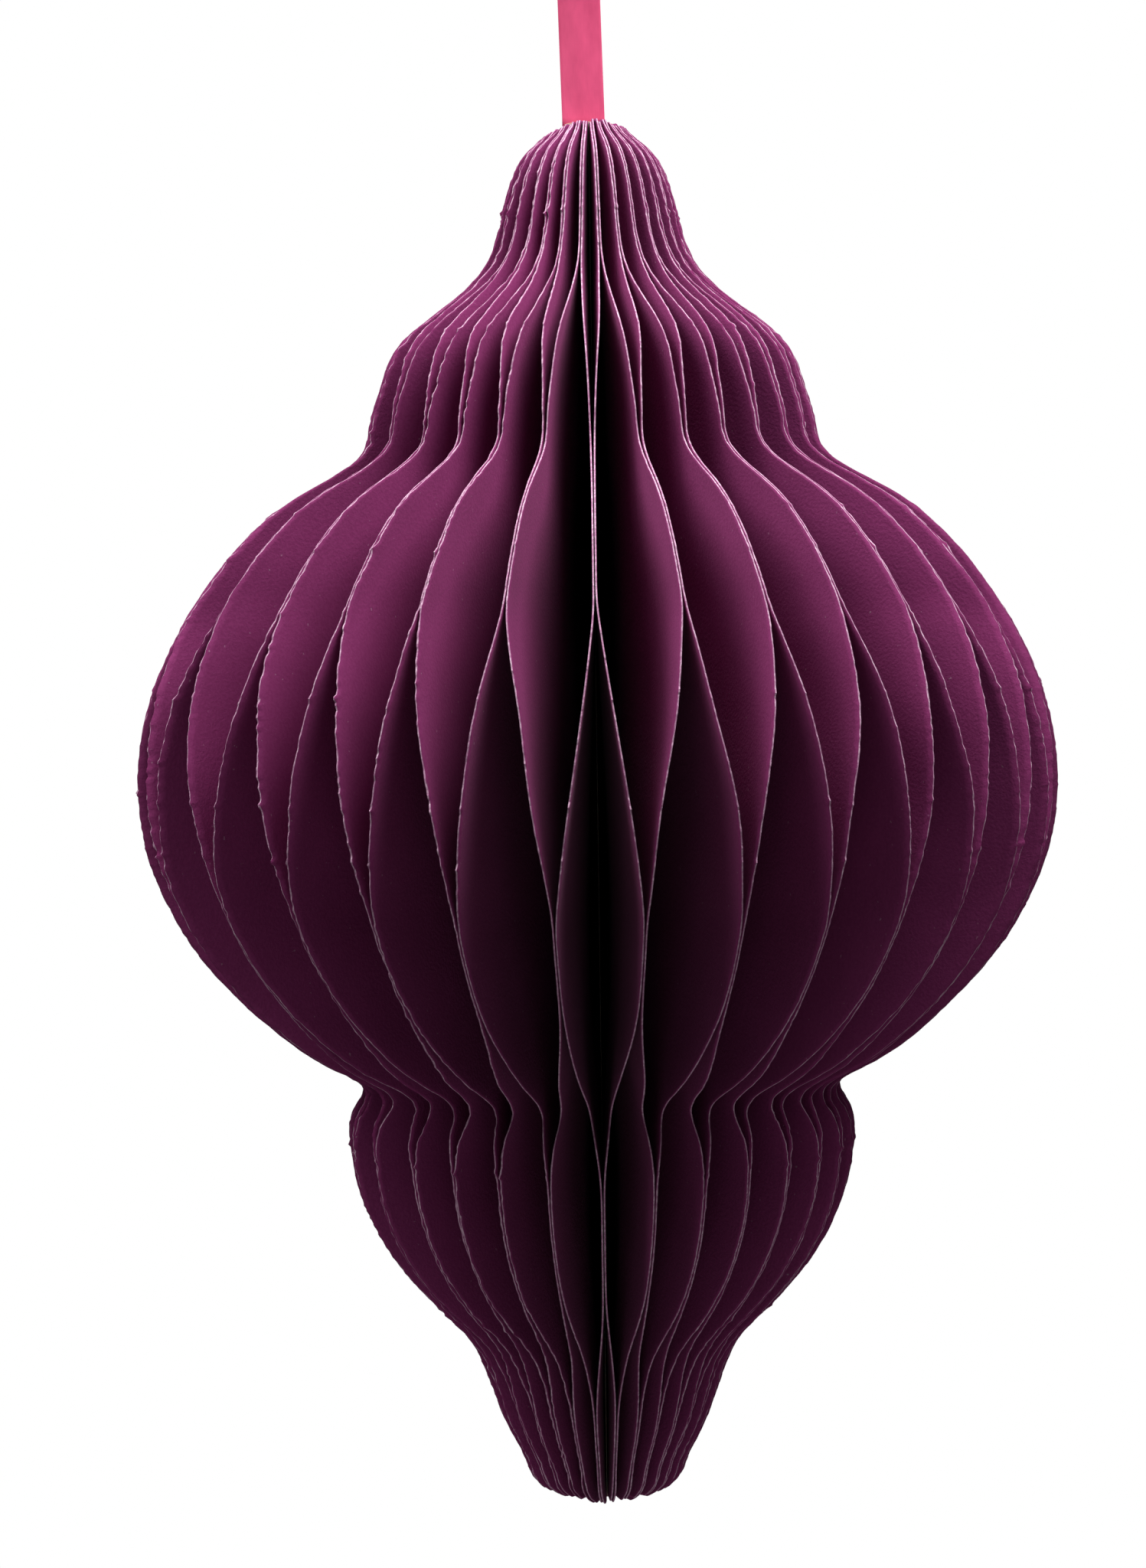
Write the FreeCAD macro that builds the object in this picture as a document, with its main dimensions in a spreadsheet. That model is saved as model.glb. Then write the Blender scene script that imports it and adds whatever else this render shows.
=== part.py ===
import FreeCAD, Part

import math
import os

"""A paper honeycomb drop that hangs from a loop of satin ribbon.

The origin is on the drop's axis, where a hook bears on the inside of the ribbon loop's top, and
+Z is up along that axis. The front is -Y, and the seam where the drop opens is at the back.

Each half of the drop is a chain of sheets that are bound along one straight inner edge: sixteen
pairs of leaves, then a cover. A sheet is glued in rows to the sheet on either side of it. The rows
called "pair" join the two leaves of one pair, and the rows called "link" join that pair to its
neighbours, so a leaf swings from one partner to the other and back, which makes the cells.

An azimuth is in degrees about the axis, 0 at the front, and positive towards +X.
A depth is in mm below the top of the sheets.
"""

RIGHT, LEFT = 1, -1
SIDES = {"right": RIGHT, "left": LEFT}

# How many stretches the edge of a sheet, and of a strip of glue, is worked out in.
SHEET_STRETCHES = 120
GLUE_STRETCHES = 4

DIMENSIONS = {
    # sheets, and the glue between them
    "sheet_thickness": 0.25,
    "glue_gap": 0.10,
    "glue_thickness": 0.04,
    "glue_inset": 1.5,
    "glue_margin": 1.0,
    "glue_row_margin": 2.5,
    "glue_end_margin": 5.0,
    "pairs_a_side": 16,
    "fan_pull": 10.0,
    # core
    "core_radius": 3.45,
    "core_end_gap": 1.0,
    "tail_length": 42.0,
    "tail_clearance": 0.1,
    # ribbon
    "ribbon_width": 6.0,
    "ribbon_thickness": 0.3,
    "ribbon_arc_share": 0.45,
    # adhesive dots that hold the two covers together
    "dot_radius": 4.0,
    "dot_thickness": 0.06,
    "upper_dot_depth": 32.0,
    "upper_dot_reach": 18.0,
    "middle_dot_depth": 90.0,
    "middle_dot_reach": 54.0,
    "lower_dot_depth": 147.0,
    "lower_dot_reach": 27.0,
}

# The edge of every sheet: (depth, radius).
OUTLINE = [
    (0.0, 4.2),
    (2.3, 5.9),
    (4.3, 8.2),
    (6.2, 9.8),
    (9.0, 11.1),
    (14.0, 12.5),
    (18.0, 13.6),
    (21.7, 15.6),
    (25.7, 19.8),
    (29.6, 24.9),
    (33.0, 28.1),
    (37.4, 29.9),
    (43.3, 31.6),
    (47.3, 33.0),
    (50.0, 36.6),
    (53.0, 42.0),
    (58.8, 49.4),
    (66.6, 55.8),
    (76.3, 61.3),
    (86.0, 64.3),
    (95.5, 65.0),
    (105.2, 63.2),
    (115.1, 58.4),
    (123.0, 52.1),
    (129.0, 45.6),
    (133.0, 39.8),
    (136.3, 34.4),
    (140.0, 35.3),
    (145.0, 36.0),
    (151.0, 35.0),
    (159.0, 31.6),
    (167.0, 25.4),
    (173.0, 19.7),
    (177.1, 17.5),
    (185.2, 14.5),
    (191.2, 11.6),
    (195.2, 8.4),
    (197.0, 4.2),
]

# The stretches where a sheet lies flat against a neighbour: (kind, first depth, last depth).
GLUE_ROWS = [
    ("pair", 0.0, 21.2),
    ("link", 60.0, 69.0),
    ("pair", 109.5, 117.0),
    ("link", 149.2, 159.0),
    ("pair", 184.5, 197.0),
]

# How a leaf swings from each row to the next: (leave, settle). At 1 it turns sharply where the row
# ends, and the larger the number, the longer it keeps close to that row.
SWINGS = [
    (1.0, 3.1),
    (1.0, 1.15),
    (2.6, 2.8),
    (3.0, 3.1),
]

# Each side of the fan is pulled round by fan_pull, towards the left, between these azimuths from the front.
PULLED = {RIGHT: (60.0, 180.0), LEFT: (38.0, 74.0)}

# The ribbon loop's route in the plane X = 0: (Y, height above the top of the sheets).
RIBBON_ROUTE = [
    (-0.65, 0.0),
    (-1.1, 13.0),
    (-4.0, 29.0),
    (-10.5, 46.0),
    (-17.8, 62.0),
    (-21.2, 77.0),
    (-21.2, 90.0),
    (-13.1, 101.1),
    (0.0, 105.4),
    (13.1, 101.1),
    (21.2, 90.0),
    (21.2, 77.0),
    (17.8, 62.0),
    (10.5, 46.0),
    (4.0, 29.0),
    (1.1, 13.0),
    (0.65, 0.0),
]


def make_sheet(doc):
    """The spreadsheet of driving dimensions, one alias for each."""
    sheet = doc.addObject("Spreadsheet::Sheet", "Dimensions")
    for row, (alias, value) in enumerate(DIMENSIONS.items(), start=1):
        sheet.set(f"A{row}", alias)
        sheet.set(f"B{row}", str(value))
        sheet.setAlias(f"B{row}", alias)
    doc.recompute()
    return sheet


doc = FreeCAD.newDocument("PaperHoneycombDrop")
sheet = make_sheet(doc)
size = {alias: float(sheet.get(alias)) for alias in DIMENSIONS}

pairs_a_side = int(size["pairs_a_side"])
leaves_a_side = 2 * pairs_a_side
cover_number = leaves_a_side + 1
drop_height = OUTLINE[-1][0]
sheet_pitch = size["sheet_thickness"] + size["glue_gap"]

# The sheets' inner edges stand evenly round a ring that they just fill.
inner_step = 180.0 / cover_number
ring_radius = sheet_pitch / math.radians(inner_step)
# The fan's stations are even too, half a turn for the leaves of a side.
fan_step = 180.0 / leaves_a_side


def spoke(azimuth, radius=1.0):
    """The point at this azimuth and distance from the axis, at Z = 0."""
    angle = math.radians(azimuth)
    return FreeCAD.Vector(radius * math.sin(angle), -radius * math.cos(angle), 0)


def across(azimuth):
    """The level direction square to a spoke, towards a growing azimuth."""
    return spoke(azimuth + 90.0)


def fan_azimuth(side, number):
    """Where the fan's boundary after this many sheets points. The left half is pulled wider."""
    station = number * fan_step
    start, end = PULLED[side]
    share = min(max((station - start) / (end - start), 0.0), 1.0)
    return side * station - size["fan_pull"] * share**2 * (3 - 2 * share)


def inner_point(side, number):
    """Where a sheet's inner edge stands on the ring; a number between two sheets is their boundary."""
    return spoke(side * (number - 0.5) * inner_step, ring_radius)


def top_height():
    """How far the top of the sheets is below the hook's bearing point."""
    apex = len(RIBBON_ROUTE) // 2
    half_turn, radius = ribbon_corner(apex)
    rounding = radius * (1 / math.cos(half_turn) - 1)
    return RIBBON_ROUTE[apex][1] - rounding - size["ribbon_thickness"] / 2


def route_point(number):
    y, height = RIBBON_ROUTE[number]
    return FreeCAD.Vector(0, y, height)


def ribbon_corner(number):
    """Half the turn at a point of the route, in radians, and the radius of its arc."""
    here = route_point(number)
    before = here - route_point(number - 1)
    after = route_point(number + 1) - here
    half_turn = before.getAngle(after) / 2
    shorter = min(before.Length, after.Length)
    return half_turn, size["ribbon_arc_share"] * shorter / math.tan(half_turn)


sheet_top = -top_height()

outline = Part.BSplineCurve()
outline.interpolate(
    Points=[FreeCAD.Vector(depth, radius, 0) for depth, radius in OUTLINE],
    Parameters=[depth for depth, _ in OUTLINE],
)


def edge_radius(depth):
    return outline.value(depth).y


def lean(depth):
    """Which partner a leaf lies against: 1 in a "pair" row, -1 in a "link" row. It swings between them."""
    value = {"pair": 1.0, "link": -1.0}
    for row, (leave, settle) in enumerate(SWINGS):
        kind, _, last = GLUE_ROWS[row]
        _, next_first, _ = GLUE_ROWS[row + 1]
        if depth <= last:
            return value[kind]
        if depth < next_first:
            share = (depth - last) / (next_first - last)
            swung = 1 - (1 - share**leave) ** settle
            return value[kind] * (1 - 2 * swung)
    return value[GLUE_ROWS[-1][0]]


def edge_point(side, number, azimuth, depth, inset=0.0):
    """Where a line along azimuth from a sheet's inner edge comes to the outline."""
    start = inner_point(side, number)
    direction = spoke(azimuth)
    along = start.dot(direction)
    radius = edge_radius(depth) - inset
    reach = math.sqrt(along**2 - ring_radius**2 + radius**2) - along
    return start + direction * reach + FreeCAD.Vector(0, 0, sheet_top - depth)


def sheet_solid(side, number, middle, azimuth_at):
    """One sheet: level lines from its inner edge to the outline, which point along azimuth_at(depth).

    The sheet has its thickness square to the azimuth called middle.
    """
    depths = [drop_height * n / SHEET_STRETCHES for n in range(SHEET_STRETCHES + 1)]
    shift = across(middle) * (-size["sheet_thickness"] / 2)
    start = inner_point(side, number)
    inner, outer = Part.BSplineCurve(), Part.BSplineCurve()
    inner.interpolate(
        Points=[start + shift + FreeCAD.Vector(0, 0, sheet_top - depth) for depth in depths],
        Parameters=depths,
    )
    outer.interpolate(
        Points=[edge_point(side, number, azimuth_at(depth), depth) + shift for depth in depths],
        Parameters=depths,
    )
    face = Part.makeRuledSurface(inner.toShape(), outer.toShape())
    return face.extrude(across(middle) * size["sheet_thickness"])


def leaf(side, number):
    """A leaf, which swings between the fan's boundaries on its two sides."""
    near, far = fan_azimuth(side, number - 1), fan_azimuth(side, number)
    pair_azimuth, link_azimuth = (far, near) if number % 2 else (near, far)
    middle = (near + far) / 2

    def azimuth_at(depth):
        return middle + lean(depth) * (pair_azimuth - link_azimuth) / 2

    return sheet_solid(side, number, middle, azimuth_at)


def glue_line(side, number, first, last):
    """The glue between a sheet and the next one, in one row."""
    azimuth = fan_azimuth(side, number)
    upper = max(first + size["glue_row_margin"], size["glue_end_margin"])
    lower = min(last - size["glue_row_margin"], drop_height - size["glue_end_margin"])
    depths = [upper + (lower - upper) * n / GLUE_STRETCHES for n in range(GLUE_STRETCHES + 1)]
    boundary = number + 0.5
    start = inner_point(side, boundary) + spoke(azimuth, size["glue_margin"])
    outer = [edge_point(side, boundary, azimuth, depth, size["glue_inset"]) for depth in depths]
    inner = [start + FreeCAD.Vector(0, 0, sheet_top - depth) for depth in (depths[-1], depths[0])]
    face = Part.Face(Part.makePolygon(outer + inner + outer[:1]))
    face.translate(across(azimuth) * (-size["glue_thickness"] / 2))
    return face.extrude(across(azimuth) * size["glue_thickness"])


def glue_lines(side, number, kind):
    return [glue_line(side, number, first, last) for row, first, last in GLUE_ROWS if row == kind]


def add_feature(label, shape):
    feature = doc.addObject("Part::Feature", label)
    feature.Shape = shape
    feature.Label = label
    feature.Placement = FreeCAD.Placement()
    return feature


def add_leaf_pair(side_name, pair):
    """Two leaves and their glue: between them, and to the sheet after them."""
    side = SIDES[side_name]
    first, second = 2 * pair - 1, 2 * pair
    solids = [leaf(side, first), leaf(side, second)]
    solids += glue_lines(side, first, "pair")
    solids += glue_lines(side, second, "link")
    return add_feature(f"leaf_pair_{side_name}_{pair:02d}", Part.makeCompound(solids))


def add_cover(side_name):
    """The flat sheet at the seam."""
    side = SIDES[side_name]
    azimuth = fan_azimuth(side, leaves_a_side)
    solid = sheet_solid(side, cover_number, azimuth, lambda depth: azimuth)
    return add_feature(f"cover_{side_name}", solid)


def add_front_glue():
    """The glue between the first leaves of the two sides, at the very front."""
    solids = glue_lines(RIGHT, 0, "link")
    return add_feature("front_glue", Part.makeCompound(solids))


def add_dot(place):
    """An adhesive dot in the seam, between the outer faces of the two covers."""
    azimuth = fan_azimuth(RIGHT, leaves_a_side)
    label = f"closure_dot_{place}"
    dot = doc.addObject("Part::Cylinder", label)
    dot.Label = label
    dot.setExpression("Radius", "Dimensions.dot_radius")
    dot.setExpression("Height", "Dimensions.dot_thickness")
    square_to_seam = across(azimuth)
    centre = spoke(180.0, ring_radius) + spoke(azimuth, size[f"{place}_dot_reach"])
    centre -= square_to_seam * (size["dot_thickness"] / 2)
    centre.z = sheet_top - size[f"{place}_dot_depth"]
    turn = FreeCAD.Rotation(FreeCAD.Vector(0, 0, 1), square_to_seam)
    dot.Placement = FreeCAD.Placement(centre, turn)
    return dot


def add_tail(name, side_of_axis):
    """One end of the ribbon, down in the core from the core's top face."""
    tail = doc.addObject("Part::Box", name)
    tail.Label = name
    tail.setExpression("Length", "Dimensions.ribbon_width")
    tail.setExpression("Width", "Dimensions.ribbon_thickness")
    tail.setExpression("Height", "Dimensions.tail_length")
    corner = FreeCAD.Vector(
        -size["ribbon_width"] / 2,
        side_of_axis * abs(RIBBON_ROUTE[0][0]) - size["ribbon_thickness"] / 2,
        sheet_top - size["core_end_gap"] - size["tail_length"],
    )
    tail.Placement = FreeCAD.Placement(corner, FreeCAD.Rotation())
    return tail


def add_core():
    """The glue core that binds the inner edges, with a slot for the ribbon's two ends."""
    rod = doc.addObject("Part::Cylinder", "CoreRod")
    rod.setExpression("Radius", "Dimensions.core_radius")
    rod.Height = drop_height - 2 * size["core_end_gap"]
    rod.Placement.Base = FreeCAD.Vector(0, 0, sheet_top - drop_height + size["core_end_gap"])
    slot_length = size["ribbon_width"] + 2 * size["tail_clearance"]
    slot_width = 2 * abs(RIBBON_ROUTE[0][0]) + size["ribbon_thickness"] + 2 * size["tail_clearance"]
    slot_depth = size["core_end_gap"] + size["tail_length"] + size["tail_clearance"]
    slot = doc.addObject("Part::Box", "CoreSlot")
    slot.setExpression("Length", "Dimensions.ribbon_width + 2 * Dimensions.tail_clearance")
    slot.Width = slot_width
    slot.Height = slot_depth
    slot.Placement.Base = FreeCAD.Vector(-slot_length / 2, -slot_width / 2, sheet_top - slot_depth)
    core = doc.addObject("Part::Cut", "glue_core")
    core.Base, core.Tool = rod, slot
    core.Label = "glue_core"
    return core


def ribbon_path(points):
    """Straight runs between the points, joined by tangent arcs."""
    edges, at = [], points[0]
    for number in range(1, len(points) - 1):
        here = points[number]
        back = (points[number - 1] - here).normalize()
        ahead = (points[number + 1] - here).normalize()
        half_turn, radius = ribbon_corner(number)
        print(f"ribbon arc {number}: radius {radius:.1f} mm")
        trim = radius * math.tan(half_turn)
        first, last = here + back * trim, here + ahead * trim
        middle = here + (back + ahead).normalize() * (radius * (1 / math.cos(half_turn) - 1))
        edges += [Part.makeLine(at, first), Part.Arc(first, middle, last).toShape()]
        at = last
    edges.append(Part.makeLine(at, points[-1]))
    return Part.Wire(edges)


def add_ribbon():
    """The ribbon loop, a flat band from one end in the core to the other."""
    top_of_sheets = FreeCAD.Vector(0, 0, sheet_top)
    points = [route_point(number) + top_of_sheets for number in range(len(RIBBON_ROUTE))]
    path = ribbon_path(points)
    sideways = FreeCAD.Vector(1, 0, 0)
    outward = (points[1] - points[0]).normalize().cross(sideways)
    half_width = sideways * (size["ribbon_width"] / 2)
    half_thickness = outward * (size["ribbon_thickness"] / 2)
    outer_middle, inner_middle = points[0] + half_thickness, points[0] - half_thickness
    corners = [outer_middle + half_width, outer_middle - half_width]
    corners += [inner_middle - half_width, inner_middle + half_width]
    band = path.makePipeShell([Part.makePolygon(corners + corners[:1])], True, False)
    expected = path.Length * size["ribbon_width"] * size["ribbon_thickness"]
    print(f"ribbon loop: {path.Length:.1f} mm long, volume {band.Volume:.1f} of {expected:.1f} mm3")
    return add_feature("ribbon_loop", band)


def check_and_export(parts):
    doc.recompute()
    for item in doc.Objects:
        if set(item.State) & {"Invalid", "Error"}:
            raise RuntimeError(f"{item.Label} is {item.State}")
    os.makedirs("parts", exist_ok=True)
    for item in parts:
        if item.Shape.isNull() or not item.Shape.isValid():
            raise RuntimeError(f"{item.Label} has no valid shape")
        item.Shape.exportStep(f"parts/{item.Label}.step")
    print(f"{len(parts)} nodes, top of the sheets at Z = {sheet_top:.3f}")


parts = [add_core(), add_front_glue(), add_ribbon()]
parts += [add_tail("ribbon_end_front", -1), add_tail("ribbon_end_back", 1)]
for side_name in SIDES:
    parts += [add_leaf_pair(side_name, pair) for pair in range(1, pairs_a_side + 1)]
    parts.append(add_cover(side_name))
parts += [add_dot(place) for place in ("upper", "middle", "lower")]
check_and_export(parts)
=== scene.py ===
import math

import bpy
import numpy as np
from mathutils import Matrix, Vector


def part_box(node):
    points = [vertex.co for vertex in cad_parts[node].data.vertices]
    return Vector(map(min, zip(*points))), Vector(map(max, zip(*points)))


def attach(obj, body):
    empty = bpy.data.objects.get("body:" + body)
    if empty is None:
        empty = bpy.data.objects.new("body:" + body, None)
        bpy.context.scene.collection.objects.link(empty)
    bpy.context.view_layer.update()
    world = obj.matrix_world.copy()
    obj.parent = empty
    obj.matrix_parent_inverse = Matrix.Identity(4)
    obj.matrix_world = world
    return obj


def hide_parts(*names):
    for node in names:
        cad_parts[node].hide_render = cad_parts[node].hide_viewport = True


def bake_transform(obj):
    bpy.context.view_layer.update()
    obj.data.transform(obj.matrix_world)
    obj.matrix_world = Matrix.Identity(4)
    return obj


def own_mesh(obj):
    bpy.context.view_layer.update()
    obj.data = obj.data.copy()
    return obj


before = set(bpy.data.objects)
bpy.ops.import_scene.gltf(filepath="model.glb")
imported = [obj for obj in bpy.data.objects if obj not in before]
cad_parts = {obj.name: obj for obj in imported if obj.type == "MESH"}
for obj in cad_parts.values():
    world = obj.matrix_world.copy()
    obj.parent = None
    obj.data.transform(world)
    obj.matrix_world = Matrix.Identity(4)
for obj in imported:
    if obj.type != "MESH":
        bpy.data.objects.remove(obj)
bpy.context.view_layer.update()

# A paper honeycomb drop on a satin ribbon loop: 64 leaves of plum card, bound along their inner
# edges round a core. Everything is in metres, in the CAD frame. An azimuth is in degrees about Z,
# 0 at the front (-Y), growing towards +X. A depth is how far a point is below the top of the sheets.

MM = 0.001
RIGHT, LEFT = 1, -1
SIDE_NAMES = {RIGHT: "right", LEFT: "left"}

# The sheets, as the CAD has them.
PAIRS_A_SIDE = 16
LEAVES_A_SIDE = 2 * PAIRS_A_SIDE
COVER_NUMBER = LEAVES_A_SIDE + 1
SHEET_THICKNESS = 0.25 * MM
GLUE_GAP = 0.10 * MM
GLUE_THICKNESS = 0.04 * MM
GLUE_INSET = 1.5 * MM
GLUE_START = 1.0 * MM
GLUE_ROW_MARGIN = 2.5 * MM
GLUE_END_MARGIN = 5.0 * MM
PATCH_ROWS = 7
# The fan is pulled round to the left by FAN_PULL degrees, which sets in between these azimuths.
FAN_PULL = 10.0
PULLED = {RIGHT: (60.0, 180.0), LEFT: (38.0, 74.0)}
# How far a boundary between two leaves may point off its even place, in degrees.
FAN_UNEVENNESS = 0.35
INNER_STEP = 180.0 / COVER_NUMBER
FAN_STEP = 180.0 / LEAVES_A_SIDE
RING_RADIUS = (SHEET_THICKNESS + GLUE_GAP) / math.radians(INNER_STEP)
SHEET_BOTTOM, SHEET_TOP = (corner.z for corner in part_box("cover_right"))
DROP_HEIGHT = SHEET_TOP - SHEET_BOTTOM
# The rows of glue: which neighbour a leaf is glued to, and the row's first and last depth.
GLUE_ROWS = [
    ("pair", 0.0, 0.0212),
    ("link", 0.0600, 0.0690),
    ("pair", 0.1095, 0.1170),
    ("link", 0.1492, 0.1590),
    ("pair", 0.1845, 0.1970),
]
# How a leaf swings from each row to the next: (leave, settle), 1 for a sharp turn at that row.
SWINGS = [
    (1.0, 3.1),
    (1.0, 1.15),
    (2.6, 2.8),
    (3.0, 3.1),
]
LEAN = {"pair": 1.0, "link": -1.0}
# Stiff card rounds each turn over this depth to either side, as the mean of this many samples.
CARD_TURN = 2.0 * MM
TURN_SAMPLES = 7
# The outer edge of every sheet, which a smooth spline joins up: (depth, radius), in mm.
OUTLINE = [
    (0.0, 4.2),
    (2.3, 5.9),
    (4.3, 8.2),
    (6.2, 9.8),
    (9.0, 11.1),
    (14.0, 12.5),
    (18.0, 13.6),
    (21.7, 15.6),
    (25.7, 19.8),
    (29.6, 24.9),
    (33.0, 28.1),
    (37.4, 29.9),
    (43.3, 31.6),
    (47.3, 33.0),
    (50.0, 36.6),
    (53.0, 42.0),
    (58.8, 49.4),
    (66.6, 55.8),
    (76.3, 61.3),
    (86.0, 64.3),
    (95.5, 65.0),
    (105.2, 63.2),
    (115.1, 58.4),
    (123.0, 52.1),
    (129.0, 45.6),
    (133.0, 39.8),
    (136.3, 34.4),
    (140.0, 35.3),
    (145.0, 36.0),
    (151.0, 35.0),
    (159.0, 31.6),
    (167.0, 25.4),
    (173.0, 19.7),
    (177.1, 17.5),
    (185.2, 14.5),
    (191.2, 11.6),
    (195.2, 8.4),
    (197.0, 4.2),
]

# Each kind of piece draws its random numbers from seeds of its own.
BOUNDARY_SEED = 500
LEAF_SEED = 1000
COVER_SEED = 900
RIBBON_SEED = 7

# The ribbon. Its route is (Y, height above the top of the sheets), and X is its drift to one side.
RIBBON_WIDTH = 6.0 * MM
RIBBON_THICKNESS = 0.3 * MM
RIBBON_ROUTE = [
    (-0.00065, 0.0),
    (-0.0011, 0.013),
    (-0.0040, 0.029),
    (-0.0105, 0.046),
    (-0.0178, 0.062),
    (-0.0212, 0.077),
    (-0.0212, 0.090),
    (-0.0131, 0.1011),
    (0.0, 0.1054),
    (0.0131, 0.1011),
    (0.0212, 0.090),
    (0.0212, 0.077),
    (0.0178, 0.062),
    (0.0105, 0.046),
    (0.0040, 0.029),
    (0.0011, 0.013),
    (0.00065, 0.0),
]


# ---------------------------------------------------------------- camera

# It stands in front of the drop's axis and looks slightly down. Its turns are in degrees.
CAMERA_DISTANCE = 0.498
CAMERA_BELOW_TOP = 0.0713
CAMERA_PITCH = -2.63
CAMERA_YAW = 0.40
CAMERA_ROLL = -0.8
FRAME_HEIGHT_MM = 36.0
LENS_MM = 80.3
NEAR_CLIP = 0.01


def add_camera():
    """The camera in front of the drop, at the photograph's viewing angle."""
    data = bpy.data.cameras.new("camera")
    data.sensor_fit = "VERTICAL"
    data.sensor_height = FRAME_HEIGHT_MM
    data.lens = LENS_MM
    data.dof.use_dof = False
    data.clip_start = NEAR_CLIP
    camera = bpy.data.objects.new("camera", data)
    bpy.context.scene.collection.objects.link(camera)
    camera.location = (0, -CAMERA_DISTANCE, SHEET_TOP - CAMERA_BELOW_TOP)
    turns = ((CAMERA_YAW, "Z"), (90 + CAMERA_PITCH, "X"), (CAMERA_ROLL, "Z"))
    yaw, pitch, roll = (Matrix.Rotation(math.radians(angle), 3, axis) for angle, axis in turns)
    camera.rotation_euler = (yaw @ pitch @ roll).to_euler()
    bpy.context.scene.camera = camera


# ---------------------------------------------------------------- node materials

# Colours, in linear light.
PLUM, LIGHT_PLUM = (0.172, 0.021, 0.096, 1), (0.214, 0.027, 0.120, 1)
PLUM_FLECK, DUST = (0.255, 0.042, 0.150, 1), (0.42, 0.27, 0.36, 1)
TORN_CORE, PALE_CORE = (0.48, 0.29, 0.40, 1), (0.63, 0.44, 0.55, 1)
TORN_DYED = (0.34, 0.15, 0.26, 1)
# The ribbon's two rose tones: its colour runs between them in bands, as painted sheen and shade.
ROSE, LIGHT_ROSE = (0.440, 0.040, 0.110, 1), (0.660, 0.078, 0.185, 1)
ROSE_FLOAT = (0.70, 0.11, 0.24, 1)
GLUE_DARK, GLUE_LIGHT = (0.34, 0.24, 0.21, 1), (0.48, 0.37, 0.31, 1)
FLOOR_DARK, FLOOR_LIGHT = (0.80, 0.79, 0.78, 1), (0.86, 0.85, 0.84, 1)
WHITE = (1, 1, 1, 1)


class Nodes:
    """The node tree of a material or a world, with short calls to add nodes and to join them."""

    def __init__(self, owner):
        owner.use_nodes = True
        self.owner = owner
        self.tree = owner.node_tree

    def add(self, kind, inputs=None, **settings):
        node = self.tree.nodes.new(kind)
        for key, value in settings.items():
            setattr(node, key, value)
        for key, value in (inputs or {}).items():
            self.set(node, key, value)
        return node

    def set(self, node, key, value):
        """A socket's value, or a link to it where value is another node's output."""
        if isinstance(value, bpy.types.NodeSocket):
            self.tree.links.new(value, node.inputs[key])
        else:
            node.inputs[key].default_value = value

    def noise(self, vector, scale, detail=4.0, roughness=0.6):
        inputs = {"Vector": vector, "Scale": scale, "Detail": detail, "Roughness": roughness}
        return self.add("ShaderNodeTexNoise", inputs).outputs["Fac"]

    def stretched(self, vector, scale):
        return self.add("ShaderNodeMapping", {"Vector": vector, "Scale": scale}).outputs["Vector"]

    def range(self, value, low, high, to_low=0.0, to_high=1.0):
        inputs = {"Value": value, "From Min": low, "From Max": high, "To Min": to_low, "To Max": to_high}
        return self.add("ShaderNodeMapRange", inputs).outputs["Result"]

    def math(self, operation, a, b):
        return self.add("ShaderNodeMath", {0: a, 1: b}, operation=operation).outputs["Value"]

    def mix(self, share, a, b):
        node = self.add("ShaderNodeMix", data_type="RGBA")
        for number, value in ((0, share), (6, a), (7, b)):
            self.set(node, number, value)
        return node.outputs[2]

    def bump(self, height, distance, strength=1.0):
        inputs = {"Height": height, "Distance": distance, "Strength": strength}
        return self.add("ShaderNodeBump", inputs).outputs["Normal"]

    def coordinate(self, kind):
        return self.add("ShaderNodeTexCoord").outputs[kind]

    def finish(self, **inputs):
        """Sets the shader's sockets, whose names have spaces for underscores, and gives the material."""
        shader = self.tree.nodes["Principled BSDF"]
        for key, value in inputs.items():
            self.set(shader, key.replace("_", " "), value)
        return self.owner


def new_material(name):
    return Nodes(bpy.data.materials.new(name))


def plum_paper():
    """Dyed uncoated card: mottled, with short fibres in its surface."""
    nodes = new_material("plum_paper")
    place = nodes.coordinate("Object")
    mottle = nodes.range(nodes.noise(place, 60.0, 6.0), 0.3, 0.7)
    speck = nodes.range(nodes.noise(place, 2400.0, 2.0), 0.35, 0.65)
    fibre = nodes.noise(nodes.stretched(place, (1.0, 1.0, 0.25)), 3200.0, 3.0, 0.7)
    base = nodes.mix(mottle, PLUM, LIGHT_PLUM)
    dyed = nodes.mix(nodes.math("MULTIPLY", speck, 0.35), base, PLUM_FLECK)
    dust = nodes.range(nodes.noise(place, 1600.0, 1.0), 0.76, 0.80)
    colour = nodes.mix(nodes.math("MULTIPLY", dust, 0.4), dyed, DUST)
    return nodes.finish(
        Base_Color=colour,
        Roughness=nodes.range(fibre, 0.2, 0.8, 0.78, 0.95),
        Specular_IOR_Level=0.12,
        Sheen_Weight=0.03,
        Sheen_Roughness=0.5,
        Normal=nodes.bump(nodes.math("ADD", fibre, speck), 0.00004, 0.6),
    )


def cut_edge():
    """The die-cut edge: the card's paler core, torn to fibres."""
    nodes = new_material("cut_edge")
    place = nodes.coordinate("Object")
    shred = nodes.noise(place, 1500.0, 5.0, 0.75)
    patch = nodes.range(nodes.noise(place, 160.0, 3.0), 0.35, 0.65)
    pale = nodes.mix(patch, TORN_CORE, PALE_CORE)
    colour = nodes.mix(nodes.range(shred, 0.42, 0.62), TORN_DYED, pale)
    return nodes.finish(
        Base_Color=colour,
        Roughness=0.92,
        Specular_IOR_Level=0.15,
        Normal=nodes.bump(shred, 0.00008),
    )


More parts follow.
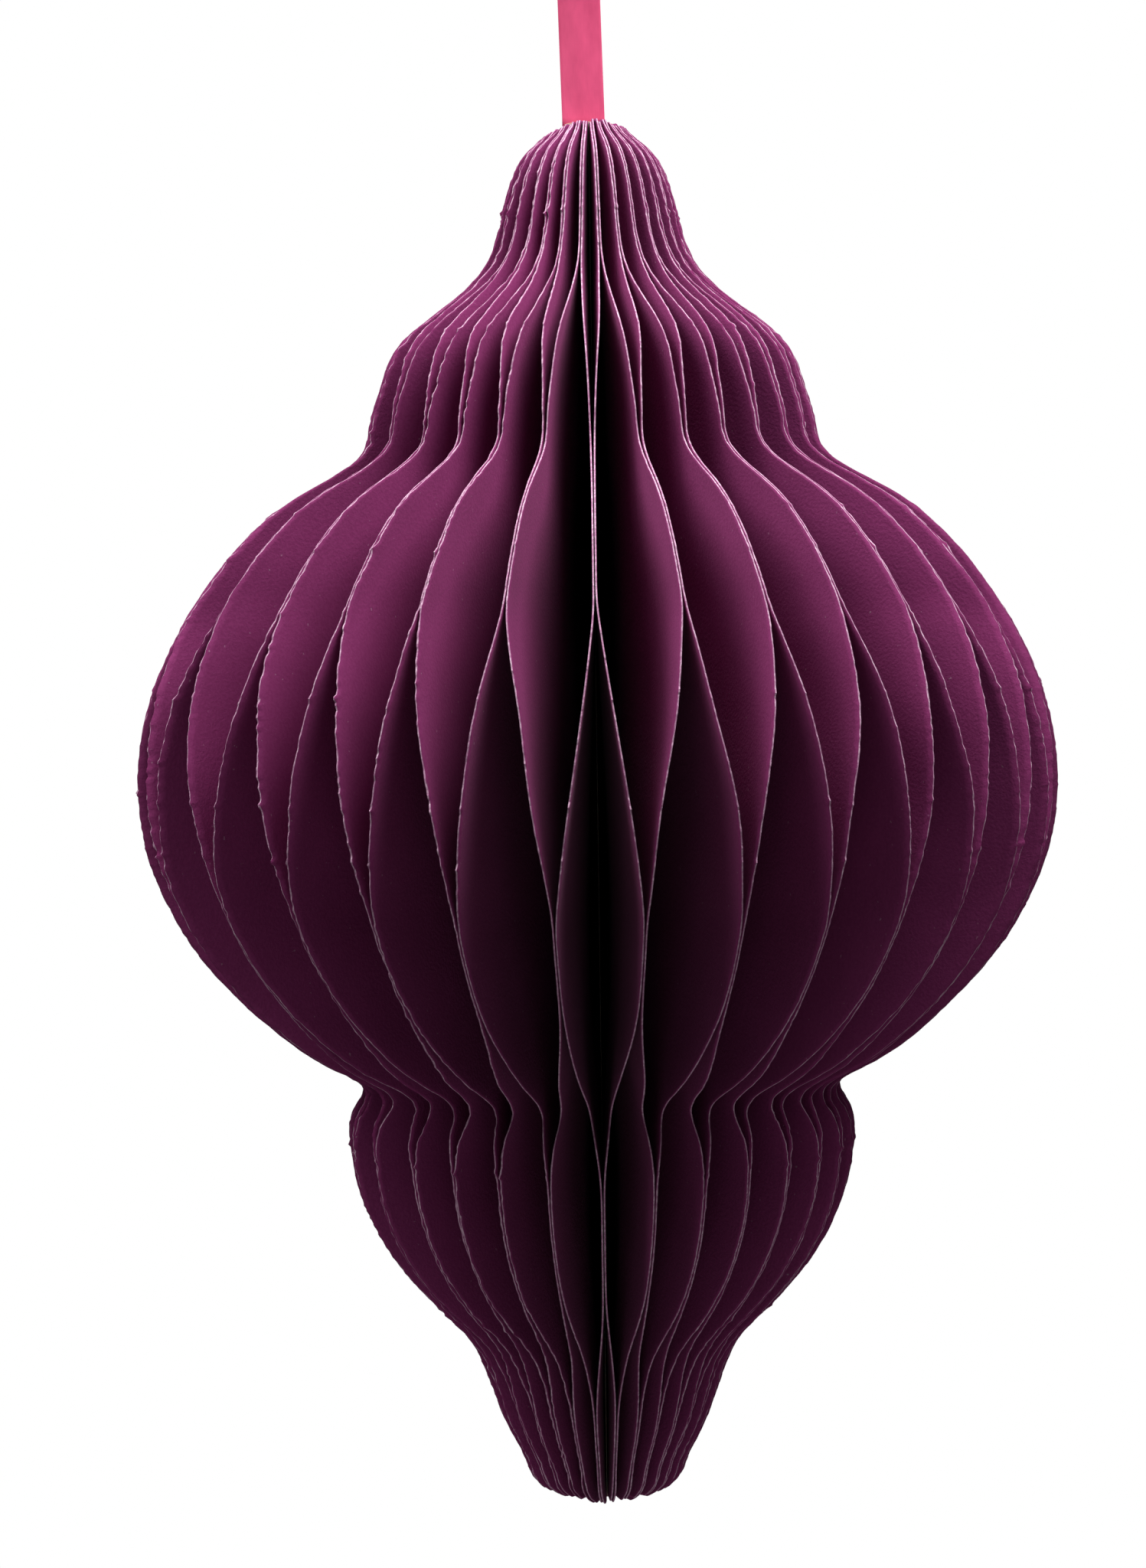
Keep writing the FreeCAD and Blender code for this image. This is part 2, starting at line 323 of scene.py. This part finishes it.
def satin_ribbon():
    """Woven satin: long floats along it that give a soft shine, a faint rib across, and painted bands of
    sheen and shade along its length.
    """
    nodes = new_material("satin_ribbon")
    uv = nodes.coordinate("UV")
    floats = nodes.noise(nodes.stretched(uv, (9000.0, 500.0, 1.0)), 1.0, 3.0)
    ribs = nodes.noise(nodes.stretched(uv, (400.0, 5000.0, 1.0)), 1.0, 2.0)
    # Lighter and darker bands of rose along the ribbon, at random places: painted sheen and shade of the
    # satin.
    painted_sheen_bands = nodes.range(nodes.noise(nodes.stretched(uv, (260.0, 110.0, 1.0)), 1.0, 3.0), 0.3, 0.7)
    base = nodes.mix(painted_sheen_bands, ROSE, LIGHT_ROSE)
    colour = nodes.mix(nodes.math("MULTIPLY", floats, 0.3), base, ROSE_FLOAT)
    weave = nodes.math("ADD", nodes.math("MULTIPLY", ribs, 0.5), floats)
    return nodes.finish(
        Base_Color=colour,
        Roughness=nodes.range(floats, 0.3, 0.7, 0.36, 0.48),
        Specular_IOR_Level=0.35,
        Anisotropic=0.5,
        Normal=nodes.bump(weave, 0.00002, 0.5),
    )


def dried_glue():
    """Glue that has dried nearly clear over the dyed card, with small bubbles and drag marks."""
    nodes = new_material("glue")
    place = nodes.coordinate("Object")
    drag = nodes.noise(nodes.stretched(place, (1.0, 1.0, 0.2)), 900.0, 4.0)
    bubble = nodes.add("ShaderNodeTexVoronoi", {"Vector": place, "Scale": 1400.0}).outputs["Distance"]
    colour = nodes.mix(nodes.range(drag, 0.3, 0.7), GLUE_DARK, GLUE_LIGHT)
    return nodes.finish(
        Base_Color=colour,
        Roughness=nodes.range(drag, 0.3, 0.7, 0.28, 0.5),
        Subsurface_Weight=0.3,
        Subsurface_Scale=0.001,
        Normal=nodes.bump(bubble, 0.00005, 0.4),
    )


# ---------------------------------------------------------------- the shape of a sheet

def spoke(azimuth, radius=1.0):
    """Points at these azimuths and distances from the axis, at Z = 0, one row each."""
    angle = np.radians(azimuth)
    x, y = radius * np.sin(angle), -radius * np.cos(angle)
    return np.stack([x, y, np.zeros_like(x)], axis=-1)


def across(azimuth):
    """The level direction square to an azimuth."""
    return spoke(azimuth + 90.0)


def seeded(seed, side, number):
    """One piece's own source of random numbers, the same on every run."""
    return np.random.default_rng(seed * (side + 2) + number)


def fan_azimuth(side, number):
    """Where the fan's boundary after this many sheets points."""
    station = number * FAN_STEP
    start, end = PULLED[side]
    share = min(max((station - start) / (end - start), 0.0), 1.0)
    return side * station - FAN_PULL * share**2 * (3 - 2 * share)


def boundary_azimuth(side, number):
    """The same, with the small unevenness of a fan that was pulled open by hand."""
    if number in (0, LEAVES_A_SIDE):
        return fan_azimuth(side, number)
    random = seeded(BOUNDARY_SEED, side, number)
    return fan_azimuth(side, number) + random.uniform(-1, 1) * FAN_UNEVENNESS


def inner_point(side, number):
    """Where a sheet's inner edge stands, on the ring round the core."""
    return spoke(side * (number - 0.5) * INNER_STEP, RING_RADIUS)


def spline_bends(x, y):
    """The second derivatives of the natural cubic spline through these points."""
    step = np.diff(x)
    system, right = np.eye(len(x)), np.zeros(len(x))
    for n in range(1, len(x) - 1):
        system[n, n - 1 : n + 2] = step[n - 1], 2 * (step[n - 1] + step[n]), step[n]
        right[n] = 6 * ((y[n + 1] - y[n]) / step[n] - (y[n] - y[n - 1]) / step[n - 1])
    return np.linalg.solve(system, right)


OUTLINE_DEPTH, OUTLINE_RADIUS = (np.array(column) * MM for column in zip(*OUTLINE))
OUTLINE_BEND = spline_bends(OUTLINE_DEPTH, OUTLINE_RADIUS)


def outline_radius(depth):
    """The outline's radius at these depths."""
    after = np.clip(np.searchsorted(OUTLINE_DEPTH, depth), 1, len(OUTLINE) - 1)
    before = after - 1
    step = OUTLINE_DEPTH[after] - OUTLINE_DEPTH[before]
    share = (depth - OUTLINE_DEPTH[before]) / step
    rest = 1 - share
    straight = rest * OUTLINE_RADIUS[before] + share * OUTLINE_RADIUS[after]
    bend = (rest**3 - rest) * OUTLINE_BEND[before] + (share**3 - share) * OUTLINE_BEND[after]
    return straight + bend * step**2 / 6


def sharp_lean(depth):
    """Which partner a leaf lies against: 1 in a "pair" row, -1 in a "link" row. It swings between them."""
    value = np.full(len(depth), LEAN[GLUE_ROWS[-1][0]])
    for row in reversed(range(len(SWINGS))):
        leave, settle = SWINGS[row]
        kind, _, last = GLUE_ROWS[row]
        _, next_first, _ = GLUE_ROWS[row + 1]
        share = np.clip((depth - last) / (next_first - last), 0, 1)
        swung = 1 - (1 - share**leave) ** settle
        value = np.where(depth < next_first, LEAN[kind] * (1 - 2 * swung), value)
    return value


def lean(depth):
    """The same, with the turns at the rows' ends as round as stiff card makes them."""
    offsets = np.linspace(-CARD_TURN, CARD_TURN, TURN_SAMPLES)
    shifted = [sharp_lean(np.clip(depth + offset, 0, DROP_HEIGHT)) for offset in offsets]
    return np.mean(shifted, axis=0)


def wander(random, position, step, size):
    """A smooth random line: new values every step, up to size either way."""
    knots = np.arange(position.min(), position.max() + 2 * step, step)
    values = random.uniform(-size, size, len(knots))
    place = (position - knots[0]) / step
    before = np.clip(place.astype(int), 0, len(knots) - 2)
    share = place - before
    eased = share * share * (3 - 2 * share)
    return values[before] * (1 - eased) + values[before + 1] * eased


# ---------------------------------------------------------------- sheets

SHEET_ROWS = 560
SHEET_COLUMNS = (0.0, 0.35, 0.7, 0.92, 0.98, 1.0)
# The die presses the card thinner along its cut.
PRESSED_THICKNESS = (1.0, 1.0, 1.0, 1.0, 0.97, 0.75)
LEAST_WIDTH = 0.3 * MM

# How much lower a sheet's tip is than the top, and how much higher its end than the bottom, in mm.
TIP_CUT = (0.7, 1.3)
END_CUT = (0.4, 1.6)
# How much more the sheets at the sides are cut, and how much lower the tips are at the right.
SHOULDER_DROP = 1.3 * MM
TIP_SLANT = -0.4 * MM

# How far a leaf's rows may stand up or down of the others'. Where the leaf is free it also drifts
# off its swing, by this share of it, over this height.
ROW_SHIFT = 0.9 * MM
DRIFT = 0.17
DRIFT_STEP = 16 * MM
# Below this depth the ends of the leaves part, by up to this share of the swing.
SPLAY_DEPTH = 190.0 * MM
SPLAY = 0.9

# The edge's fray: its size, its waves' lengths, the share that each face has of its own, and
# the range by which it differs from leaf to leaf.
RAGGED_SIZE = 0.07 * MM
FRAY_STEPS = (0.7 * MM, 6.0 * MM)
FACE_FRAY = 0.4
FRAY_RANGE = (0.7, 1.5)
# The die cut the first leaves of the left side rougher than the rest.
COARSE_LEAVES = 12
COARSE_CUT = 1.7
# The die's bridges leave a nick at the same depths on every sheet, and each edge has its own burrs.
NICK_DEPTHS = tuple(depth * MM for depth in (14.0, 31.0, 56.0, 61.5, 80.5, 94.5, 101.5, 145.0, 168.5))
NICK_SIZE = 0.28 * MM
BURR_SIZE = 0.16 * MM
BURRS = 10
BUMP_WIDTH = 0.3 * MM
# A nick or a burr stands in or out by this range of its size.
BUMP_RANGE = (-0.4, 1.0)


def ragged(random, depth, size):
    """How far a die-cut edge stands in or out of its line: a fine fray, the die's nicks, and a few burrs."""
    fine, long = FRAY_STEPS
    line = wander(random, depth, fine, size) + wander(random, depth, long, size)
    nicks = [(place + random.normal(0, BUMP_WIDTH), NICK_SIZE) for place in NICK_DEPTHS]
    burrs = [(place, BURR_SIZE) for place in random.uniform(0, DROP_HEIGHT, BURRS)]
    for place, tallest in nicks + burrs:
        height = random.uniform(*BUMP_RANGE) * tallest * size / RAGGED_SIZE
        line += height * np.exp(-(((depth - place) / BUMP_WIDTH) ** 2))
    return line


def grid_faces(columns, rows, index):
    """Quads over a grid of vertices, where index(row, column) is a vertex's number."""
    row, column = np.meshgrid(np.arange(rows - 1), np.arange(columns - 1), indexing="ij")
    corners = [
        index(row, column),
        index(row, column + 1),
        index(row + 1, column + 1),
        index(row + 1, column),
    ]
    return np.stack(corners, axis=-1).reshape(-1, 4)


def new_object(name, points, faces, materials, material_numbers=None, smooth=None):
    """A mesh object in the scene. The last two give each face's material number and smoothness."""
    mesh = bpy.data.meshes.new(name)
    mesh.from_pydata(points.tolist(), [], faces.tolist())
    for material in materials:
        mesh.materials.append(material)
    if material_numbers is not None:
        mesh.polygons.foreach_set("material_index", material_numbers)
    if smooth is not None:
        mesh.polygons.foreach_set("use_smooth", smooth)
    mesh.update()
    obj = bpy.data.objects.new(name, mesh)
    bpy.context.scene.collection.objects.link(obj)
    return obj


def sheet_depths(random, middle):
    """The depths of a sheet's rows. It is cut unevenly, and is longest at the front and the back."""
    beside = math.sin(math.radians(middle))
    top = random.uniform(*TIP_CUT) * MM + beside**2 * SHOULDER_DROP + beside * TIP_SLANT
    bottom = DROP_HEIGHT - random.uniform(*END_CUT) * MM - beside**2 * SHOULDER_DROP
    return np.linspace(top, bottom, SHEET_ROWS)


def sheet_points(side, number, depth, azimuth, middle, random, fray):
    """The points of a sheet's two faces: level lines from its inner edge to its frayed outer edge.

    It points along azimuth at each depth, and its thickness is square to the azimuth middle.
    """
    start = inner_point(side, number)
    direction = spoke(azimuth)
    along = direction @ start
    turn = across(middle)
    layers = []
    shared = ragged(random, depth, fray)
    for face in (-1, 1):
        radius = outline_radius(depth) + shared + ragged(random, depth, fray * FACE_FRAY)
        radius = np.maximum(radius, RING_RADIUS + LEAST_WIDTH)
        reach = np.sqrt(along**2 - RING_RADIUS**2 + radius**2) - along
        share = np.array(SHEET_COLUMNS)
        points = start + direction[:, None, :] * (reach[:, None] * share)[:, :, None]
        points[:, :, 2] = (SHEET_TOP - depth)[:, None]
        half = face * SHEET_THICKNESS / 2 * np.array(PRESSED_THICKNESS)
        layers.append(points + turn * half[:, None])
    return np.concatenate(layers).reshape(-1, 3)


def sheet_faces(rows, columns):
    """The quads of a sheet's two faces, and those of the rim that joins them."""

    def back(row, column):
        return row * columns + column

    def front(row, column):
        return (rows + row) * columns + column

    row, column = np.arange(rows - 1), np.arange(columns - 1)
    below, beyond = row + 1, column + 1
    bottom, edge = rows - 1, columns - 1
    strips = [
        [back(row, edge), front(row, edge), front(below, edge), back(below, edge)],
        [front(row, 0), back(row, 0), back(below, 0), front(below, 0)],
        [back(0, column), front(0, column), front(0, beyond), back(0, beyond)],
        [front(bottom, column), back(bottom, column), back(bottom, beyond), front(bottom, beyond)],
    ]
    rim = np.concatenate([np.stack(np.broadcast_arrays(*strip), axis=-1) for strip in strips])
    broad = [grid_faces(columns, rows, back)[:, ::-1], grid_faces(columns, rows, front)]
    return np.concatenate(broad), rim[:, ::-1]


def sheet_object(name, points, paper):
    """A sheet of dyed card whose rim shows the card's torn core."""
    broad, rim = sheet_faces(SHEET_ROWS, len(SHEET_COLUMNS))
    is_rim = np.repeat([0, 1], [len(broad), len(rim)])
    return new_object(name, points, np.concatenate([broad, rim]), paper, is_rim, is_rim == 0)


def pair_middle(side, pair):
    """The mean azimuth of a pair of leaves, which its fold brings to the front."""
    before, between, after = (fan_azimuth(side, 2 * pair - back) for back in (2, 1, 0))
    return (before + 2 * between + after) / 4


def fold_away(obj, side, pair):
    """A piece of a pair rides on the pair's body, so it turns with the pair, and gets a mesh of its own."""
    name = f"{SIDE_NAMES[side]}_{pair:02d}"
    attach(obj, f"pair_{name}")
    anchor = inner_point(side, 2 * pair - 0.5)
    axis = across(pair_middle(side, pair))
    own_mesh(obj)


def leaf(side, number, paper):
    """A leaf, which swings between its two partners and is a little uneven where it is free."""
    random = seeded(LEAF_SEED, side, number)
    near, far = boundary_azimuth(side, number - 1), boundary_azimuth(side, number)
    pair_azimuth, link_azimuth = (far, near) if number % 2 else (near, far)
    middle = (near + far) / 2
    depth = sheet_depths(random, middle)
    swing = lean(depth + random.uniform(-1, 1) * ROW_SHIFT)
    swing = swing + wander(random, depth, DRIFT_STEP, DRIFT) * (1 - swing**2)
    splay = np.clip((depth - SPLAY_DEPTH) / (DROP_HEIGHT - SPLAY_DEPTH), 0, 1)
    swing = swing - random.uniform(0, SPLAY) * splay
    azimuth = middle + swing * (pair_azimuth - link_azimuth) / 2
    coarse = COARSE_CUT if side == LEFT and number <= COARSE_LEAVES else 1.0
    fray = RAGGED_SIZE * random.uniform(*FRAY_RANGE) * coarse
    points = sheet_points(side, number, depth, azimuth, middle, random, fray)
    obj = sheet_object(f"leaf_{SIDE_NAMES[side]}_{number:02d}", points, paper)
    return obj


def glue_patch(azimuth, start, first, last):
    """The points of one patch of glue, as four lines: inner and outer, back then front."""
    upper = max(first + GLUE_ROW_MARGIN, GLUE_END_MARGIN)
    lower = min(last - GLUE_ROW_MARGIN, DROP_HEIGHT - GLUE_END_MARGIN)
    depth = np.linspace(upper, lower, PATCH_ROWS)
    reach = outline_radius(depth) - GLUE_INSET - RING_RADIUS
    lines = []
    for face in (-1, 1):
        base = start + across(azimuth) * (face * GLUE_THICKNESS / 2)
        for share in (GLUE_START / reach, np.ones_like(reach)):
            line = base + spoke(azimuth) * (reach * share)[:, None]
            line[:, 2] = SHEET_TOP - depth
            lines.append(line)
    return lines


def patch_faces(first):
    """The faces of a patch whose first point has this number."""
    row = np.arange(PATCH_ROWS - 1)
    lines = [first + PATCH_ROWS * line for line in (0, 1, 3, 2)]
    faces = [
        np.stack([a + row, b + row, b + row + 1, a + row + 1], axis=-1)
        for a, b in zip(lines, lines[1:] + lines[:1])
    ]
    ends = [lines[::-1], [line + PATCH_ROWS - 1 for line in lines]]
    return np.concatenate(faces + [np.array(ends)])


def glue_lines(side, pair, material):
    """The glue between a pair's leaves, and to the sheet after them: patches that stop short of the edge."""
    points, faces = [], []
    for number, kind in ((2 * pair - 1, "pair"), (2 * pair, "link")):
        azimuth = boundary_azimuth(side, number)
        start = inner_point(side, number + 0.5)
        for row_kind, first, last in GLUE_ROWS:
            if row_kind == kind:
                faces.append(patch_faces(PATCH_ROWS * len(points)))
                points.extend(glue_patch(azimuth, start, first, last))
    name = f"glue_lines_{SIDE_NAMES[side]}_{pair:02d}"
    obj = new_object(name, np.concatenate(points), np.concatenate(faces), [material])
    return obj


def add_pair(side, pair, paper, glue):
    """Two leaves that are glued to each other, with the glue that they carry."""
    leaves = [leaf(side, number, paper) for number in (2 * pair - 1, 2 * pair)]
    lines = glue_lines(side, pair, glue)
    for obj in leaves + [lines]:
        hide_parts(f"leaf_pair_{SIDE_NAMES[side]}_{pair:02d}")
        fold_away(obj, side, pair)


def add_cover(side, paper):
    """The flat sheet at the seam, cut from the same card as the leaves."""
    random = np.random.default_rng(COVER_SEED + side)
    azimuth = fan_azimuth(side, LEAVES_A_SIDE)
    depth = sheet_depths(random, azimuth)
    flat = np.full(SHEET_ROWS, azimuth)
    points = sheet_points(side, COVER_NUMBER, depth, flat, azimuth, random, RAGGED_SIZE)
    name = f"cover_{SIDE_NAMES[side]}"
    obj = sheet_object(f"{name}_sheet", points, paper)
    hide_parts(name)
    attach(obj, name)


# ---------------------------------------------------------------- ribbon

RIBBON_COLUMNS = 25
CURVE_STEPS = 24
# The band is a little cupped, and its thickness grows to a bead at each edge, then closes.
RIBBON_CUP = 0.10 * MM
CUP_LEVEL = 0.4
SELVEDGE_WIDTH = 0.05
SELVEDGE_RISE = 0.03 * MM
RIM_THICKNESS = RIBBON_THICKNESS / 5
# It tilts a little from side to side along its length.
SWAY_STEP = 14 * MM
SWAY = 0.05 * MM
# The loop's ends reach this far down into the core, beside the ends that the glue holds.
RIBBON_TUCK = 2.2 * MM
# It hangs to one side: a share of the drift at the core, all of it higher up, and none at the hook.
RIBBON_DRIFT = -1.4 * MM
RIBBON_ROOT_SHARE = 0.5
DRIFTED_AT, RETURNS_FROM = 0.25, 0.6


def ribbon_drift(height):
    """How far the ribbon hangs to one side: it leaves the core off centre, and comes back to its hook."""
    top = RIBBON_ROUTE[len(RIBBON_ROUTE) // 2][1]
    rise = min(height / (DRIFTED_AT * top), 1.0)
    back = max((height - RETURNS_FROM * top) / ((1 - RETURNS_FROM) * top), 0.0)
    return RIBBON_DRIFT * (RIBBON_ROOT_SHARE + (1 - RIBBON_ROOT_SHARE) * rise) * (1 - back**2)


def ribbon_line():
    """Points along the route's own smooth curve."""
    data = bpy.data.curves.new("ribbon_line", "CURVE")
    data.dimensions = "3D"
    data.resolution_u = CURVE_STEPS
    spline = data.splines.new("NURBS")
    spline.points.add(len(RIBBON_ROUTE) - 1)
    for point, (y, height) in zip(spline.points, RIBBON_ROUTE):
        point.co = (ribbon_drift(height), y, SHEET_TOP + height, 1)
    spline.order_u = 3
    spline.use_endpoint_u = True
    curve = bpy.data.objects.new("ribbon_line", data)
    bpy.context.scene.collection.objects.link(curve)
    mesh = bpy.data.meshes.new_from_object(curve)
    points = np.array([v.co for v in mesh.vertices])
    bpy.data.objects.remove(curve)
    return points


def ribbon_levels(share):
    """How far the ribbon's middle and its half thickness stand off flat, across its width from -1 to 1."""
    bead = np.clip((np.abs(share) - 1 + SELVEDGE_WIDTH * 2) / SELVEDGE_WIDTH, 0, 1)
    half = RIBBON_THICKNESS / 2 - SELVEDGE_RISE + SELVEDGE_RISE * bead
    half[[0, -1]] = RIM_THICKNESS
    return RIBBON_CUP * (share**2 - CUP_LEVEL), half


def ribbon_rings(line):
    """The rings of points round the band along its line, and each point's place in the weave."""
    tangent = np.gradient(line, axis=0)
    tangent /= np.linalg.norm(tangent, axis=1)[:, None]
    sideways = np.array([1.0, 0.0, 0.0])
    outward = np.cross(tangent, sideways)
    along = np.concatenate([[0], np.cumsum(np.linalg.norm(np.diff(line, axis=0), axis=1))])
    share = np.linspace(-1, 1, RIBBON_COLUMNS)
    cup, half = ribbon_levels(share)
    sway = wander(np.random.default_rng(RIBBON_SEED), along, SWAY_STEP, SWAY)
    rings, weave = [], []
    for face in (1, -1):
        level = (cup + face * half)[::face]
        across_ribbon = (share * RIBBON_WIDTH / 2)[::face]
        tilt = sway[:, None] * (across_ribbon / (RIBBON_WIDTH / 2))
        rings.append(
            line[:, None, :]
            + sideways * across_ribbon[None, :, None]
            + outward[:, None, :] * (level[None, :] + tilt)[:, :, None]
        )
        weave.append(np.stack(np.broadcast_arrays(across_ribbon[None, :], along[:, None]), axis=-1))
    return np.concatenate(rings, axis=1), np.concatenate(weave, axis=1)


def ribbon_faces(rows, ring):
    """The quads between the rings, and the caps that close the band's two ends."""

    def index(row, column):
        return row * ring + column % ring

    mates = np.arange(RIBBON_COLUMNS - 1)
    others = ring - 1 - mates
    cap = np.stack([mates, others, others - 1, mates + 1], axis=-1)
    return np.concatenate([grid_faces(ring + 1, rows, index), cap, cap[:, ::-1] + (rows - 1) * ring])


def add_ribbon(material):
    """The satin loop: a thin flat band with beaded selvedges, a little cupped, along its line."""
    path = ribbon_line()
    tuck = np.array([0.0, 0.0, RIBBON_TUCK])
    rings, weave = ribbon_rings(np.concatenate([[path[0] - tuck], path, [path[-1] - tuck]]))
    faces = ribbon_faces(*rings.shape[:2])
    smooth = np.ones(len(faces), bool)
    obj = new_object("ribbon", rings.reshape(-1, 3), faces, [material], smooth=smooth)
    layer = obj.data.uv_layers.new(name="weave")
    corners = np.zeros(len(obj.data.loops), int)
    obj.data.loops.foreach_get("vertex_index", corners)
    layer.data.foreach_set("uv", weave.reshape(-1, 2)[corners].ravel())
    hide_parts("ribbon_loop")
    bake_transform(obj)


# ---------------------------------------------------------------- light and surroundings

# Each light: its place from the top of the sheets on the axis, its size in metres, its power in watts.
LIGHTS = {
    "near_right": ((0.10, -0.09, 0.13), 0.16, 0.78),
    "near_left": ((-0.20, -0.02, 0.20), 0.2, 0.98),
    "left": ((-0.34, -0.24, 0.38), 0.4, 1.60),
    "low": ((0.0, -0.30, -0.60), 0.5, 0.48),
}
# The room's strength is NADIR_STRENGTH straight down, and this much more straight up.
NADIR_STRENGTH = 0.09
ZENITH_STRENGTH = 0.3
SKY_POWER = 4.0
FLOOR_RADIUS = 1.4
FLOOR_DROP = 0.85
FLOOR_CORNERS = 96
LIGHT_BOUNCES, DIFFUSE_BOUNCES = 6, 3


def add_light(name, offset, size, power):
    """A soft round light that faces the middle of the drop."""
    data = bpy.data.lights.new(name, "AREA")
    data.shape = "DISK"
    data.size = size
    data.energy = power
    light = bpy.data.objects.new(name, data)
    bpy.context.scene.collection.objects.link(light)
    light.visible_camera = False
    place = Vector(offset) + Vector((0, 0, SHEET_TOP))
    middle = Vector((0, 0, (SHEET_TOP + SHEET_BOTTOM) / 2))
    light.location = place
    light.rotation_euler = (middle - place).to_track_quat("-Z", "Y").to_euler()


def add_world():
    """A white room, bright above and fading to dark below, and plain white to look at."""
    world = bpy.data.worlds.new("room")
    bpy.context.scene.world = world
    nodes = Nodes(world)
    nodes.tree.nodes.clear()
    split = nodes.add("ShaderNodeSeparateXYZ", {"Vector": nodes.coordinate("Generated")})
    fade = nodes.math("POWER", nodes.range(split.outputs["Z"], -1.0, 1.0), SKY_POWER)
    level = nodes.math("ADD", nodes.math("MULTIPLY", fade, ZENITH_STRENGTH), NADIR_STRENGTH)
    room = nodes.add("ShaderNodeBackground", {"Color": WHITE, "Strength": level})
    white = nodes.add("ShaderNodeBackground", {"Color": WHITE})
    seen = nodes.add("ShaderNodeLightPath").outputs["Is Camera Ray"]
    both = nodes.add("ShaderNodeMixShader", {0: seen, 1: room.outputs[0], 2: white.outputs[0]})
    nodes.add("ShaderNodeOutputWorld", {"Surface": both.outputs[0]})


def add_floor():
    """A pale round floor, well below the hanging drop."""
    nodes = new_material("floor")
    grain = nodes.noise(nodes.coordinate("Object"), 30.0, 5.0)
    colour = nodes.mix(nodes.range(grain, 0.3, 0.7), FLOOR_DARK, FLOOR_LIGHT)
    material = nodes.finish(Base_Color=colour, Roughness=0.8)
    rim = spoke(np.arange(FLOOR_CORNERS) * 360.0 / FLOOR_CORNERS, FLOOR_RADIUS)
    rim[:, 2] = SHEET_BOTTOM - FLOOR_DROP
    floor = new_object("floor", rim, np.arange(FLOOR_CORNERS)[None, :], [material])
    floor.visible_diffuse = False


# ---------------------------------------------------------------- everything

add_camera()
paper = [plum_paper(), cut_edge()]
glue = dried_glue()
satin = satin_ribbon()
add_ribbon(satin)
for side in (RIGHT, LEFT):
    for pair in range(1, PAIRS_A_SIDE + 1):
        add_pair(side, pair, paper, glue)
    add_cover(side, paper)

# The CAD nodes that are shown as they are, with their materials.
CARRIED = {
    "glue_core": glue,
    "front_glue": glue,
    "closure_dot_upper": glue,
    "closure_dot_middle": glue,
    "closure_dot_lower": glue,
    "ribbon_end_front": satin,
    "ribbon_end_back": satin,
}
for node, material in CARRIED.items():
    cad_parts[node].data.materials.clear()
    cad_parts[node].data.materials.append(material)

add_world()
add_floor()
for name, (offset, size, power) in LIGHTS.items():
    add_light(name, offset, size, power)
scene = bpy.context.scene
scene.view_settings.view_transform = "Standard"
scene.cycles.max_bounces = LIGHT_BOUNCES
scene.cycles.diffuse_bounces = DIFFUSE_BOUNCES
